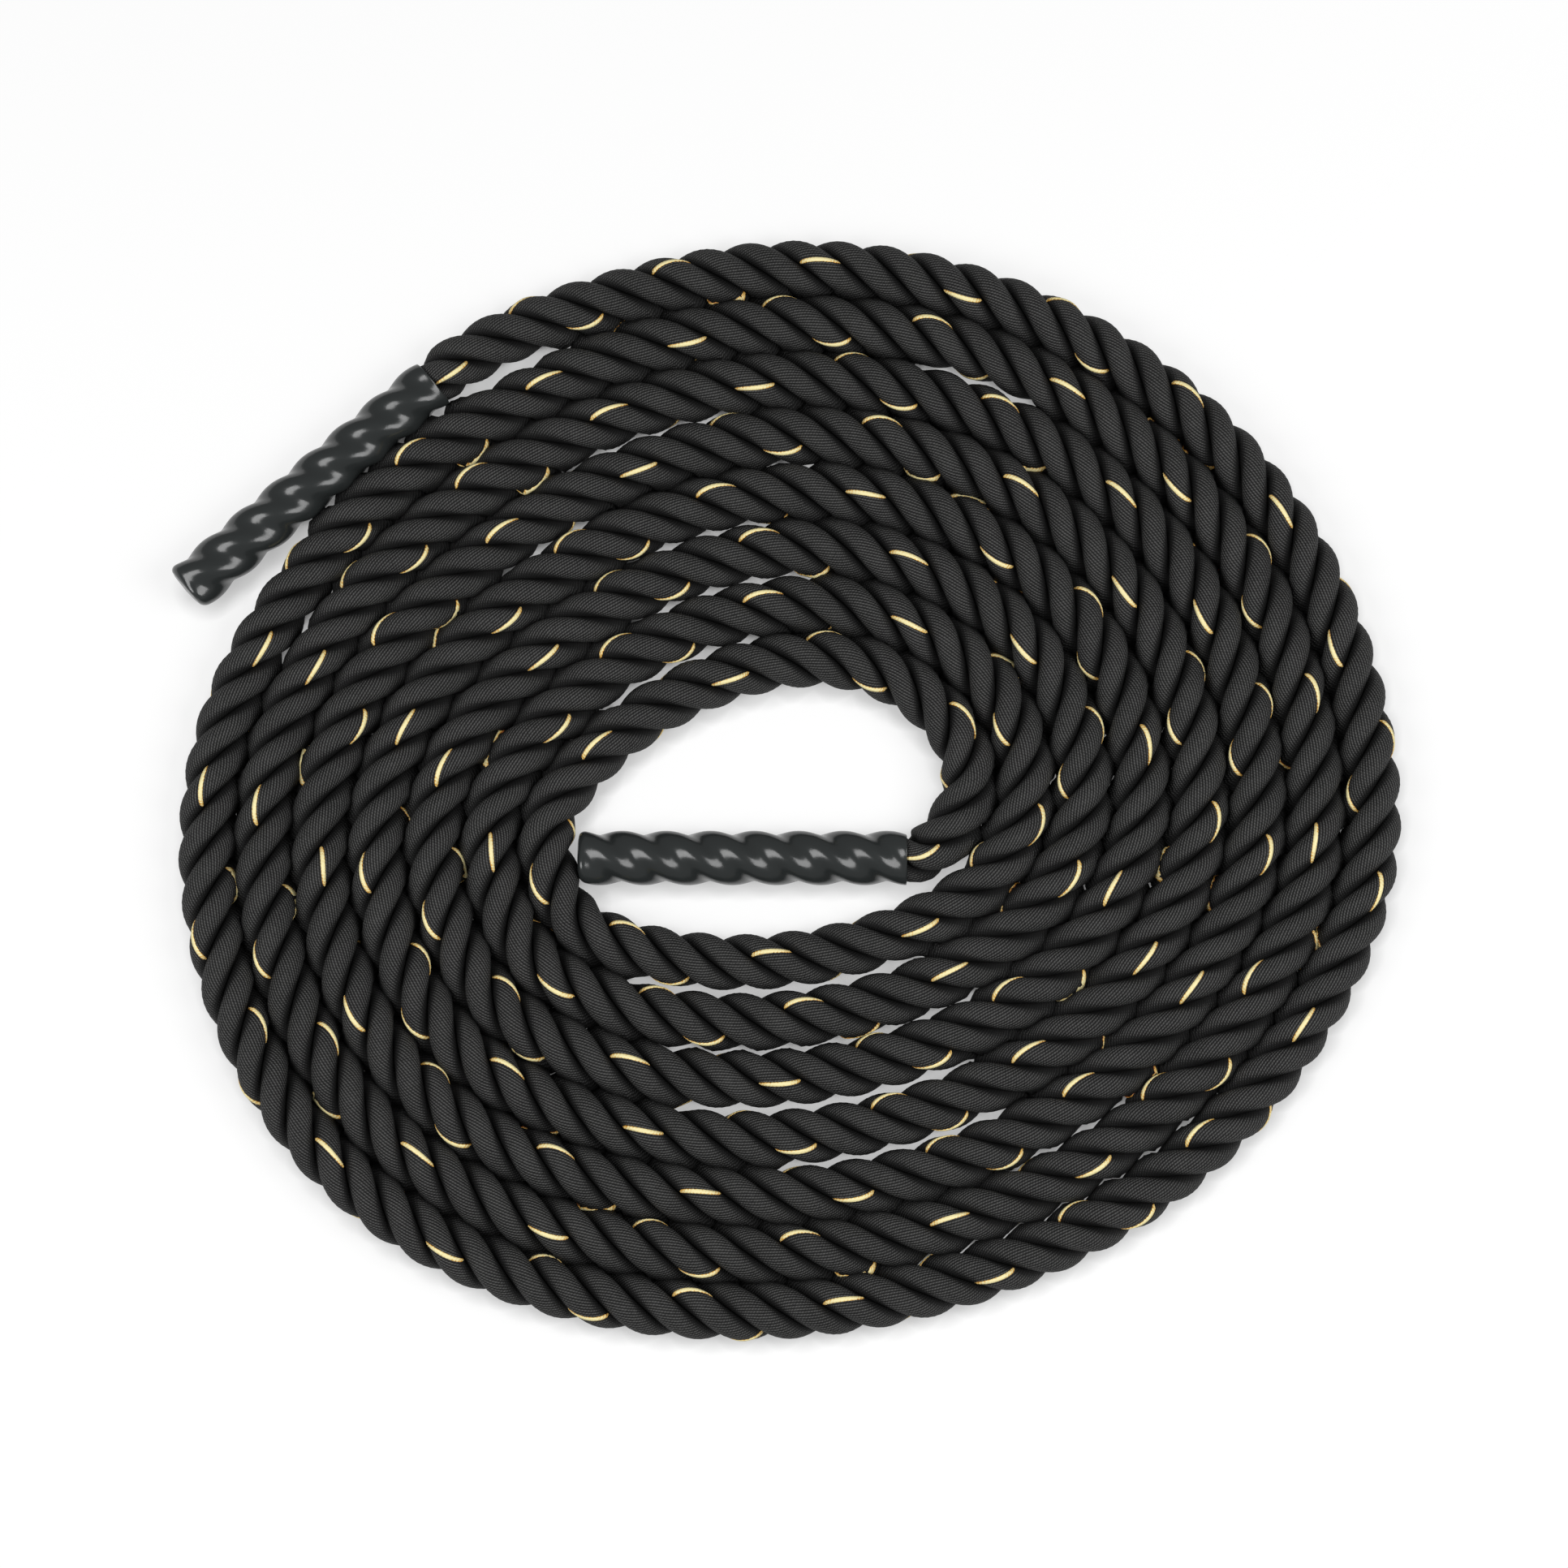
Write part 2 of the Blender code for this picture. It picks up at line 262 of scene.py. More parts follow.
@dataclass(frozen=True)
class LaidPolyester:
    """Spun black polyester yarn, laid into strands.

    The eye gets a matt, slightly hairy black. Each yarn is two plies, whose turns show as short bright
    dashes in a row. The rows run across the strands, almost along the rope. Painted shade darkens a
    strand's flanks and the notches between two turns.
    """

    lay: float
    yarn_turns: float
    # Rows round a strand, and the length of a dash. Both are drawn a little coarser than the photo's
    # yarns and their plies, because at the real size they blur into one grey.
    yarns: int = 22
    bead: float = 2.1 * MM
    bead_depth: float = 0.28
    # How far the dashes slip along the strand in one turn round it.
    cross_slip: float = 31.9 * MM
    # Loose fibres are far finer than this. They are drawn as tufts of them, which can show.
    tuft: float = 1.6 * MM
    tuft_share: float = 0.6
    patch: float = 25 * MM
    patch_share: float = 0.2
    # How squarely the surface faces away from the rope's middle, from flank to crown, and the painted shade
    # that darkens the flanks.
    crown_facing: tuple[float, float] = (-0.2, 0.7)
    flank_painted_shade: tuple[float, float] = (0.2, 0.74)
    # How open the place is, from deep in a notch to free, and the painted shade that darkens the notches.
    notch_reach: float = 14 * MM
    notch_open: tuple[float, float] = (0.2, 0.8)
    notch_painted_shade: tuple[float, float] = (0.58, 1.05)
    tones: tuple[tuple[float, str], ...] = ((0.12, "0f0f0f"), (0.45, "1c1c1c"), (1.0, "5a5a59"))
    roughness: float = 0.7
    specular: float = 0.22
    ior: float = 1.5
    relief: float = 0.5 * MM

    def make(self) -> bpy.types.Material:
        """Build the material from the strand's own map: lays along it, and turns round it.

        Returns:
            The material.
        """
        made, add = new_material("laid_polyester_black")
        lays, turns = read_strand_map(add)
        turned = add("Math", (lays, self.yarn_turns, turns), operation="MULTIPLY_ADD")
        across = add("Math", (turned, 2 * math.pi * self.yarns), operation="MULTIPLY")
        ridge = add("Math", (across,), operation="COSINE")
        rows = add("Math", (ridge, 0.5, 0.5), operation="MULTIPLY_ADD")
        slip = add("Math", (turns, -self.cross_slip / self.bead), operation="MULTIPLY")
        along = add("Math", (lays, self.lay / self.bead, slip), operation="MULTIPLY_ADD")
        slanted = add("Math", (turned, 0.5 * self.yarns, along), operation="MULTIPLY_ADD")
        round_ply = add("Math", (slanted, 2 * math.pi), operation="MULTIPLY")
        bead = add("Math", (round_ply,), operation="COSINE")
        beaded = add("Math", (bead, self.bead_depth, 1 - self.bead_depth), operation="MULTIPLY_ADD")
        dashes = add("Math", (rows, beaded), operation="MULTIPLY")
        place = add("TexCoord").outputs["Object"]
        tufts, patches = (
            add("TexNoise", {"Vector": place, "Scale": 1 / size, "Detail": detail})
            for size, detail in ((self.tuft, 2.0), (self.patch, 1.0))
        )
        tufted = add("Math", (tufts.outputs["Fac"], self.tuft_share, dashes), operation="MULTIPLY_ADD")
        height = add("Math", (patches.outputs["Fac"], self.patch_share, tufted), operation="MULTIPLY_ADD")
        # Painted shade: the colour darkens towards each strand's flanks.
        round_strand = add("Math", (turns, 2 * math.pi), operation="MULTIPLY")
        facing_out = add("Math", (round_strand,), operation="COSINE")
        crown = add(
            "MapRange", (facing_out, *self.crown_facing, *self.flank_painted_shade),
            interpolation_type="SMOOTHSTEP",
        )
        # Painted shade: the colour darkens where ambient occlusion finds a notch between strands or turns.
        openness = add("AmbientOcclusion", {"Distance": self.notch_reach}, samples=8)
        notch = add("MapRange", (openness.outputs["AO"], *self.notch_open, *self.notch_painted_shade))
        painted_shade = add("Math", (notch, crown), operation="MULTIPLY")
        tone = add("Math", (height, painted_shade), operation="MULTIPLY")
        shade = add("ValToRGB", (tone,))
        set_stops(shade.color_ramp, [(stop, linear_from_hex(code)) for stop, code in self.tones])
        end_in_shader(
            add, {"Height": tufted, "Strength": 1.0, "Distance": self.relief},
            {
                "Base Color": shade, "Roughness": self.roughness, "IOR": self.ior,
                "Specular IOR Level": self.specular,
            },
        )
        return made


@dataclass(frozen=True)
class MarkerYarn:
    """Gold-dyed polyester yarn, plied and laid into the first strand.

    The eye gets a pale gold line, a little glossier than the black, with fine ribs across it. A painted
    highlight makes it paler along its back, and painted shade turns it orange at its sides and where it
    dips under its neighbours.
    """

    lay: float
    yarn_turns: float
    crest_angle: float
    # Coarser than the real turns of the plies, which are too fine to show.
    rib: float = 1.35 * MM
    rib_share: float = 0.12
    tuft: float = 1.2 * MM
    # Shares of the painted highlight along the yarn's back and of the painted shade where it dips under its
    # neighbours.
    back_painted_light: float = 0.7
    dip_painted_shade: float = 0.45
    tones: tuple[tuple[float, str], ...] = ((0.38, "8a4606"), (0.54, "e8b24c"), (0.72, "fff2b6"))
    roughness: float = 0.5
    ior: float = 1.5
    relief: float = 0.25 * MM
    relief_share: float = 0.8

    def make(self) -> bpy.types.Material:
        """Build the material: gold with a painted highlight along its back, painted shade at its sides and
        where it dips, and the ribs of its plies.

        Returns:
            The material.
        """
        made, add = new_material("marker_yarn_gold")
        lays, turns = read_strand_map(add)
        along = add("Math", (lays, 2 * math.pi * self.lay / self.rib), operation="MULTIPLY")
        round_yarn = add("Math", (turns, 2 * math.pi), operation="MULTIPLY")
        turned = add("Math", (round_yarn, along), operation="ADD")
        ribs = add("Math", (turned,), operation="COSINE")
        # Painted highlight on the yarn's back, painted shade at its sides.
        back = add("Math", (round_yarn,), operation="SINE")
        # Painted shade where the yarn dips under its neighbours.
        crest = self.yarn_turns * math.radians(self.crest_angle)
        wound = add("Math", (lays, -2 * math.pi * self.yarn_turns, crest), operation="MULTIPLY_ADD")
        shown = add("Math", (wound,), operation="COSINE")
        place = add("TexCoord").outputs["Object"]
        tufts = add("TexNoise", {"Vector": place, "Scale": 1 / self.tuft, "Detail": 2.0})
        ribbed = add("Math", (ribs, self.rib_share, tufts.outputs["Fac"]), operation="MULTIPLY_ADD")
        height = add("Math", (back, self.back_painted_light, ribbed), operation="MULTIPLY_ADD")
        bright = add("Math", (shown, self.dip_painted_shade, height), operation="MULTIPLY_ADD")
        share = add("Math", (bright, 0.5), operation="MULTIPLY")
        shade = add("ValToRGB", (share,))
        set_stops(shade.color_ramp, [(stop, linear_from_hex(code)) for stop, code in self.tones])
        end_in_shader(
            add, {"Height": ribbed, "Strength": self.relief_share, "Distance": self.relief},
            {"Base Color": shade, "Roughness": self.roughness, "IOR": self.ior},
        )
        return made


@dataclass(frozen=True)
class ShrunkPolyolefin:
    """Heat-shrunk polyolefin sleeve, drawn tight over the strands.

    The eye gets a smooth, satin to glossy black whose highlights have slightly uneven edges, from the
    faint ripples that shrinking leaves.
    """

    colour: str = "2c2f2f"
    roughness: float = 0.21
    roughness_range: float = 0.05
    ior: float = 1.54
    ripple: float = 9 * MM
    # Coarser than the sleeve's real grain, which is too fine to show.
    grain: float = 1.3 * MM
    grain_share: float = 0.14
    relief: float = 0.5 * MM
    relief_share: float = 0.25

    def make(self) -> bpy.types.Material:
        """Build the material, with soft ripples a few millimetres apart and a fine grain.

        Returns:
            The material.
        """
        made, add = new_material("shrunk_polyolefin_black")
        place = add("TexCoord").outputs["Object"]
        ripples, grain = (
            add("TexNoise", {"Vector": place, "Scale": 1 / size, "Detail": 2.0}).outputs["Fac"]
            for size in (self.ripple, self.grain)
        )
        height = add("Math", (grain, self.grain_share, ripples), operation="MULTIPLY_ADD")
        rough = add(
            "MapRange",
            {
                "Value": grain, "To Min": self.roughness - self.roughness_range,
                "To Max": self.roughness + self.roughness_range,
            },
        )
        end_in_shader(
            add, {"Height": height, "Strength": self.relief_share, "Distance": self.relief},
            {"Base Color": linear_from_hex(self.colour), "Roughness": rough, "IOR": self.ior},
        )
        return made


@dataclass(frozen=True)
class BindingTape:
    """Woven cloth tape with black rubber glue, wound round the cut ends.

    The eye gets a matt dark grey with a plain weave, paler on the backs of its threads.
    """

    # The real threads are about 0.6 mm apart, too fine to show, so one wave here stands for six of them.
    wave: float = 3.77 * MM
    uneven: float = 0.4
    tones: tuple[tuple[float, str], ...] = ((0.0, "18181a"), (1.0, "303134"))
    roughness: float = 0.7
    relief: float = 0.1 * MM
    relief_share: float = 0.5

    def make(self) -> bpy.types.Material:
        """Build the material, with a plain weave of crossing threads.

        Returns:
            The material.
        """
        made, add = new_material("cloth_binding_tape")
        place = add("TexCoord").outputs["Object"]
        # At a scale of 1, a wave texture has ten waves in each length of pi.
        inputs = {"Vector": place, "Scale": math.pi / (10 * self.wave), "Distortion": self.uneven}
        warp, weft = (
            add("TexWave", inputs, bands_direction=direction).outputs["Fac"]
            for direction in ("X", "Z")
        )
        weave = add("Math", (warp, weft), operation="MAXIMUM")
        shade = add("ValToRGB", (weave,))
        set_stops(shade.color_ramp, [(stop, linear_from_hex(code)) for stop, code in self.tones])
        end_in_shader(
            add, {"Height": weave, "Strength": self.relief_share, "Distance": self.relief},
            {"Base Color": shade, "Roughness": self.roughness},
        )
        return made


@dataclass(frozen=True)
class StudioPaper:
    """White background paper, matt and without a pattern.

    The camera sees it lifted to white. Near the rope and in the gaps between its turns the lift fades, which
    paints the rope's shadow there; the paper's pale diffuse part keeps the real shadow too.
    """

    reflected: float = 0.3
    lifted: float = 0.72
    # How far off the rope still closes the paper in, and the way that the painted shadow is lit from.
    painted_shadow_reach: float = 18 * MM
    lit_from: tuple[float, float, float] = (-0.2, 0.45, 0.87)
    # How open a place is, and how much of the glow it keeps; the glow that it loses is painted shadow.
    painted_shadow_steps: tuple[tuple[float, float], ...] = ((0.14, 0.0), (0.25, 0.56), (0.52, 0.62), (0.9, 1.0))

    def make(self) -> bpy.types.Material:
        """Build the material: a pale diffuse paper, plus a glow that only the camera and reflections see.

        The glow fades where the rope closes the paper in, which paints the shadow at its edge and the dark
        between tight turns.

        Returns:
            The material.
        """
        made, add = new_material("studio_paper")
        # Painted shadow: the camera's glow fades with ambient occlusion, turned towards lit_from.
        towards = add("CombineXYZ", self.lit_from)
        openness = add("AmbientOcclusion", {"Distance": self.painted_shadow_reach, "Normal": towards}, samples=32)
        shade = add("ValToRGB", (openness.outputs["AO"],))
        set_stops(shade.color_ramp, [(stop, (glow, glow, glow, 1.0)) for stop, glow in self.painted_shadow_steps])
        paper = add("BsdfDiffuse", {"Color": (self.reflected,) * 3 + (1.0,)})
        path = add("LightPath")
        seen = path.outputs["Is Camera Ray"]
        for way in ("Is Glossy Ray", "Is Transmission Ray"):
            seen = add("Math", (seen, path.outputs[way]), operation="MAXIMUM")
        strength = add("Math", (seen, self.lifted), operation="MULTIPLY")
        glow = add("Emission", {"Color": shade, "Strength": strength})
        both = add("AddShader", (paper, glow))
        add("OutputMaterial", {"Surface": both})
        return made


# The coil's line


@dataclass(frozen=True)
class LooseSpot:
    """A place where the turns lie loosely: which way it faces, its half width and its extra gaps."""

    facing: float
    half_width: float
    first_gap: float
    later_gap: float


@dataclass(frozen=True)
class OpenSpot:
    """A place where the paper shows between two turns: facing angles on the inner one, and how open."""

    first: float
    last: float
    share: float


@dataclass
class OvalCoil:
    """The rope's route as the CAD source lays it: a convex oval that grows by one pitch each turn.

    Angles tell the way that the rope's outer side faces, in degrees.
    """

    diameter: float = 0.038
    turn_gap: float = 0.00095
    last_angle: float = 7 * 360.0 + 105.0
    # The oval's waves: how many in a turn, their share of its mean reach, and the angle of a crest.
    shares: tuple[tuple[int, float, float], ...] = (
        (1, 0.040, -5.6), (2, 0.248, 12.7), (3, 0.037, -33.9), (4, 0.023, -29.7), (5, 0.0144, 18.7),
    )
    loose_spots: tuple[LooseSpot, ...] = (
        LooseSpot(100.0, 50.0, 0.0006, 0.0008),
        LooseSpot(275.0, 50.0, 0.0014, 0.0),
        LooseSpot(350.0, 30.0, 0.0013, 0.0011),
    )
    first_turns: int = 3
    # Only the turns past this angle can have slack below them.
    first_beside: float = 270.0
    grip_length: float = 0.223
    grip_height: float = 0.01905
    # The inner grip's closed end stops short of the first turn where that faces this way.
    seat_gap: float = 0.0025
    seat_angle: float = 195.0
    # The free stretch from the inner mouth: its run and drop, straight start and handles, in diameters.
    lead_run: float = 1.14
    lead_drop: float = 1.43
    lead_straight: float = 0.1
    lead_handles: tuple[float, float] = (0.45, 0.5)
    # Where the outer mouth lies along the last turn, how far it turns in there, and how far out it lies.
    mouth_angle: float = 7 * 360.0 + 124.0
    outer_tuck: float = 7.0
    outer_shift: float = 0.002
    lead_points: int = 60
    turn_step: float = 0.5
    tail_points: int = 40
    reach: float = field(init=False)
    shift: Vector = field(init=False)

    def __post_init__(self) -> None:
        """Work out the oval's mean reach, and the shift that puts the inner mouth where the CAD has it."""
        room = self.grip_length + self.lead_run * self.diameter + self.seat_gap + self.diameter / 2
        grown, share = (
            self.facing_point(reach, 0.0).x - self.facing_point(reach, self.seat_angle).x
            for reach in (self.growth, self.oval_share)
        )
        self.reach = (room - grown) / share
        self.shift = Vector((0.0, 0.0, 0.0))
        low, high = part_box("inner_grip_sleeve")
        mouth = self.inner_mouth()[0]
        self.shift = Vector((high.x - mouth.x, (low.y + high.y) / 2 - mouth.y, 0.0))

    def slack(self, angle: float) -> float:
        """Tell the extra gap between a turn and the one inside it.

        Args:
            angle: Where on the outer one of the two.

        Returns:
            The gap there, 0 where they aren't loose.
        """
        total = 0.0
        for spot in self.loose_spots:
            lap = round((angle - spot.facing) / 360.0)
            offset = angle - spot.facing - 360.0 * lap
            if lap >= 1 and abs(offset) < spot.half_width:
                gap = spot.first_gap if lap <= self.first_turns else spot.later_gap
                total += gap * math.cos(math.radians(90.0 * offset / spot.half_width)) ** 2
        return total

    def oval_share(self, angle: float) -> float:
        """How far the oval reaches the way that this angle faces, over its mean reach."""
        return 1.0 + sum(
            share * math.cos(math.radians(waves * (angle - crest))) for waves, share, crest in self.shares
        )

    def growth(self, angle: float) -> float:
        """Tell how far the turns have grown out from the oval.

        Args:
            angle: Where, counted on through the turns.

        Returns:
            A pitch for each turn, and the slack of the turns below this place.
        """
        total = (self.diameter + self.turn_gap) * angle / 360.0
        inner_angle = angle
        while inner_angle > self.first_beside:
            total += self.slack(inner_angle)
            inner_angle -= 360.0
        return total

    @staticmethod
    def facing_point(reach: Callable[[float], float], angle: float, step: float = 0.05) -> Vector:
        """Find the point of a convex loop that faces one way.

        Args:
            reach: Tells how far the loop goes each way.
            angle: The way, in degrees.
            step: Half of the span that the reach's slope is read over, in degrees.

        Returns:
            The point, at height 0.
        """
        slope = (reach(angle + step) - reach(angle - step)) / math.radians(2 * step)
        outward = Vector((math.cos(math.radians(angle)), math.sin(math.radians(angle)), 0.0))
        return reach(angle) * outward + slope * Vector((-outward.y, outward.x, 0.0))

    def point(self, angle: float) -> Vector:
        """A point of the coil's centre line, before the shift, at height 0."""
        return self.facing_point(
            lambda facing: self.reach * self.oval_share(facing) + self.growth(facing), angle
        )

    def inner_mouth(self) -> tuple[Vector, Vector]:
        """Find the inner grip's mouth, before the shift.

        Returns:
            Its centre, and the direction from there to the grip's closed end.
        """
        join = self.point(0.0)
        drop = Vector((self.lead_run, self.lead_drop, 0.0)) * self.diameter
        return join - drop + self.height_vector(), Vector((-1.0, 0.0, 0.0))

    def outer_mouth(self) -> tuple[Vector, Vector]:
        """Find the outer grip's mouth, before the shift.

        Returns:
            Its centre, and the direction from there to the grip's closed end.
        """
        heading = math.radians(self.mouth_angle + self.outer_tuck + 90.0)
        direction = Vector((math.cos(heading), math.sin(heading), 0.0))
        outward = Vector((direction.y, -direction.x, 0.0))
        place = self.point(self.mouth_angle) + self.outer_shift * outward + self.height_vector()
        return place, direction

    def height_vector(self) -> Vector:
        """From the floor up to the middle of a grip."""
        return Vector((0.0, 0.0, self.grip_height))

    def mouth(self, end: End) -> tuple[Vector, Vector]:
        """A grip's mouth in the frame, and the direction from there to its closed end."""
        place, direction = self.inner_mouth() if end is End.INNER else self.outer_mouth()
        return place + self.shift, direction

    def route(self) -> list[Vector]:
        """Lay the whole rope's line in plan.

        Returns:
            Its points, from the inner grip's closed end to the outer one's.
        """
        mouth, direction = self.inner_mouth()
        bend = mouth - (self.lead_straight * self.diameter) * direction
        join = self.point(0.0)
        leave, arrive = (handle * self.diameter for handle in self.lead_handles)
        points = [mouth + self.grip_length * direction, mouth]
        points += interpolate_bezier(
            bend.xy.to_3d(), bend.xy.to_3d() - leave * direction, join - Vector((0.0, arrive, 0.0)), join,
            self.lead_points,
        )
        angles = np.arange(self.turn_step, self.last_angle, self.turn_step)
        points += [self.point(float(angle)) for angle in angles]
        last, before = self.point(self.last_angle), self.point(self.last_angle - self.turn_step)
        mouth, direction = self.outer_mouth()
        handle = (mouth - last).length / 3
        onward = (last - before).normalized()
        points += interpolate_bezier(
            last, last + handle * onward, mouth - handle * direction, mouth, self.tail_points
        )
        points.append(mouth + self.grip_length * direction)
        return [point + self.shift for point in points]


@dataclass
class RopeLine:
    """The rope's centre line by distance from the inner grip's mouth, with its sideways direction."""

    coil: OvalCoil
    # The rope sags a little below the grips' height, and rises to it over this run before a mouth.
    rope_height: float = 0.0172
    rise_run: float = 0.06
    spacing: float = 1 * MM
    smoothed_over: int = 13
    length: float = field(init=False)
    distances: Array = field(init=False)
    places: Array = field(init=False)
    inward: Array = field(init=False)
    facing: Array = field(init=False)

    def __post_init__(self) -> None:
        """Sample the route evenly and smooth its direction."""
        points = np.array([point.xy for point in self.coil.route()])
        runs = np.concatenate([[0.0], np.cumsum(np.linalg.norm(np.diff(points, axis=0), axis=1))])
        keep = np.concatenate([[True], np.diff(runs) > 1e-7])
        points, runs = points[keep], runs[keep]
        grip = self.coil.grip_length
        self.length = float(runs[-1]) - 2 * grip
        self.distances = np.arange(-grip, self.length + grip, self.spacing)
        plan = np.stack(
            [np.interp(self.distances + grip, runs, points[:, axis]) for axis in (0, 1)], axis=1
        )
        ahead = np.gradient(plan, axis=0)
        kernel = np.hanning(self.smoothed_over)[1:-1]
        kernel /= kernel.sum()
        padded = np.pad(ahead, ((len(kernel) // 2,) * 2, (0, 0)), mode="edge")
        ahead = np.stack([np.convolve(padded[:, axis], kernel, mode="valid") for axis in (0, 1)], axis=1)
        ahead /= np.linalg.norm(ahead, axis=1, keepdims=True)
        self.inward = np.stack([-ahead[:, 1], ahead[:, 0], np.zeros(len(ahead))], axis=1)
        heading = np.degrees(np.unwrap(np.arctan2(ahead[:, 1], ahead[:, 0])))
        self.facing = np.maximum.accumulate(heading - 90.0)
        from_mouth = np.minimum(self.distances, self.length - self.distances)
        rise = 1.0 - smooth_step(from_mouth / self.rise_run)
        heights = self.rope_height + (self.coil.grip_height - self.rope_height) * rise
        self.places = np.concatenate([plan, heights[:, None]], axis=1)

    def at(self, distance: Array) -> tuple[Array, Array]:
        """Look up the line.

        Args:
            distance: Distances from the inner mouth, of any shape.

        Returns:
            The places there, and the directions towards the inside of the coil.
        """
        read = [
            np.stack([np.interp(distance, self.distances, table[:, axis]) for axis in range(3)], axis=-1)
            for table in (self.places, self.inward)
        ]
        return read[0], read[1]

    def distance_at(self, facing: Array) -> Array:
        """Distances where the rope's outer side faces these ways, counted on through the turns."""
        return np.interp(facing, self.facing, self.distances)

    def path(self, step: float = 0.02) -> Array:
        """Points of the free rope's line from mouth to mouth, about this far apart."""
        return self.at(np.linspace(0.0, self.length, round(self.length / step)))[0]


# The laid rope


@dataclass
class StrandLay:
    """How the rope's three strands are laid: their sizes, and where they are at each place along it."""

    line: RopeLine
    # The strands' middles lie on a circle, and each is round up to the angle where its neighbours press.
    strands: int = 3
    circle: float = 10.7 * MM
    radius: float = 8.7 * MM
    length: float = 94.3 * MM
    press_angle: float = 59.7
    # Where the first strand is at each mouth, in degrees, and at the marker that was measured in the
    # photo, which lies this far before the outer mouth.
    inner_phase: float = 60.0
    outer_phase: float = 0.0
    marker_angle: float = 61.0
    marker_place: float = 0.39
    # Under a sleeve the rope is thinner and its lay shorter. Past the mouth it swells over this run.
    sleeved_scale: float = 0.845
    sleeved_length: float = 91 * MM
    swell_run: float = 14 * MM
    anchors: Array = field(init=False)
    anchor_angles: Array = field(init=False)

    def __post_init__(self) -> None:
        """Fit a whole number of strand steps between each mouth and the measured marker."""
        length = self.line.length
        marked = length - self.marker_place
        step = 360.0 / self.strands
        from_inner = self.marker_angle - self.inner_phase
        turns = round((marked * 360.0 / self.length - from_inner) / step) * step
        start = self.marker_angle - turns - from_inner % step
        to_outer = (length - marked) * 360.0 / self.length + self.marker_angle - self.outer_phase
        finish = round(to_outer / step) * step + self.outer_phase
        far = self.line.coil.grip_length
        sleeved = far * 360.0 / self.sleeved_length
        self.anchors = np.array([-far, 0.0, marked, length, length + far])
        self.anchor_angles = np.array([start - sleeved, start, self.marker_angle, finish, finish + sleeved])
        lays = 360.0 * np.diff(self.anchors) / np.diff(self.anchor_angles) / MM
        LOG.info("lay %.1f mm, then %.1f mm", lays[1], lays[2])

    @property
    def lean(self) -> float:
        """How far a strand leans from the rope's direction, in radians."""
        return math.atan(2 * math.pi * self.circle / self.length)

    def angle(self, distance: Array) -> Array:
        """Where the first strand is round the rope, in radians from the coil's inside over the top."""
        return np.radians(np.interp(distance, self.anchors, self.anchor_angles))

    def scale(self, distance: Array) -> Array:
        """How much of its full thickness the rope has: less where a sleeve is shrunk on it."""
        from_mouth = np.minimum(distance, self.line.length - distance)
        return self.sleeved_scale + (1.0 - self.sleeved_scale) * smooth_step(from_mouth / self.swell_run)

    def reach_below(self, distance: Array, side: float, sine: float, samples: int = 41) -> Array:
        """Tell how far the strands reach to one side of the line, in the rope's lower half.

        Args:
            distance: Distances along the line.
            side: The side's angle in degrees, 0 towards the coil's inside and 180 away from it.
            sine: Sine of the highest angle round the rope that counts, below the line.
            samples: How many angles are tried from the bottom up to there.

        Returns:
            The reach at each distance.
        """
        step = 2 * math.pi / self.strands
        crest = (self.angle(distance) - math.radians(side)) * math.cos(math.radians(side))
        across = self.radius / math.cos(self.lean)
        below = np.radians(np.linspace(-90.0, math.degrees(math.asin(-sine)), samples))
        offset = (below - crest[:, None] + step / 2) % step - step / 2
        square = (np.cos(offset) / self.radius) ** 2 + (np.sin(offset) / across) ** 2
        slope = self.circle * np.cos(offset) / self.radius ** 2
        rest = (self.circle / self.radius) ** 2 - 1.0
        reach = (slope + np.sqrt(np.maximum(slope ** 2 - square * rest, 0.0))) / square
        return (reach * np.cos(below)).max(axis=1)


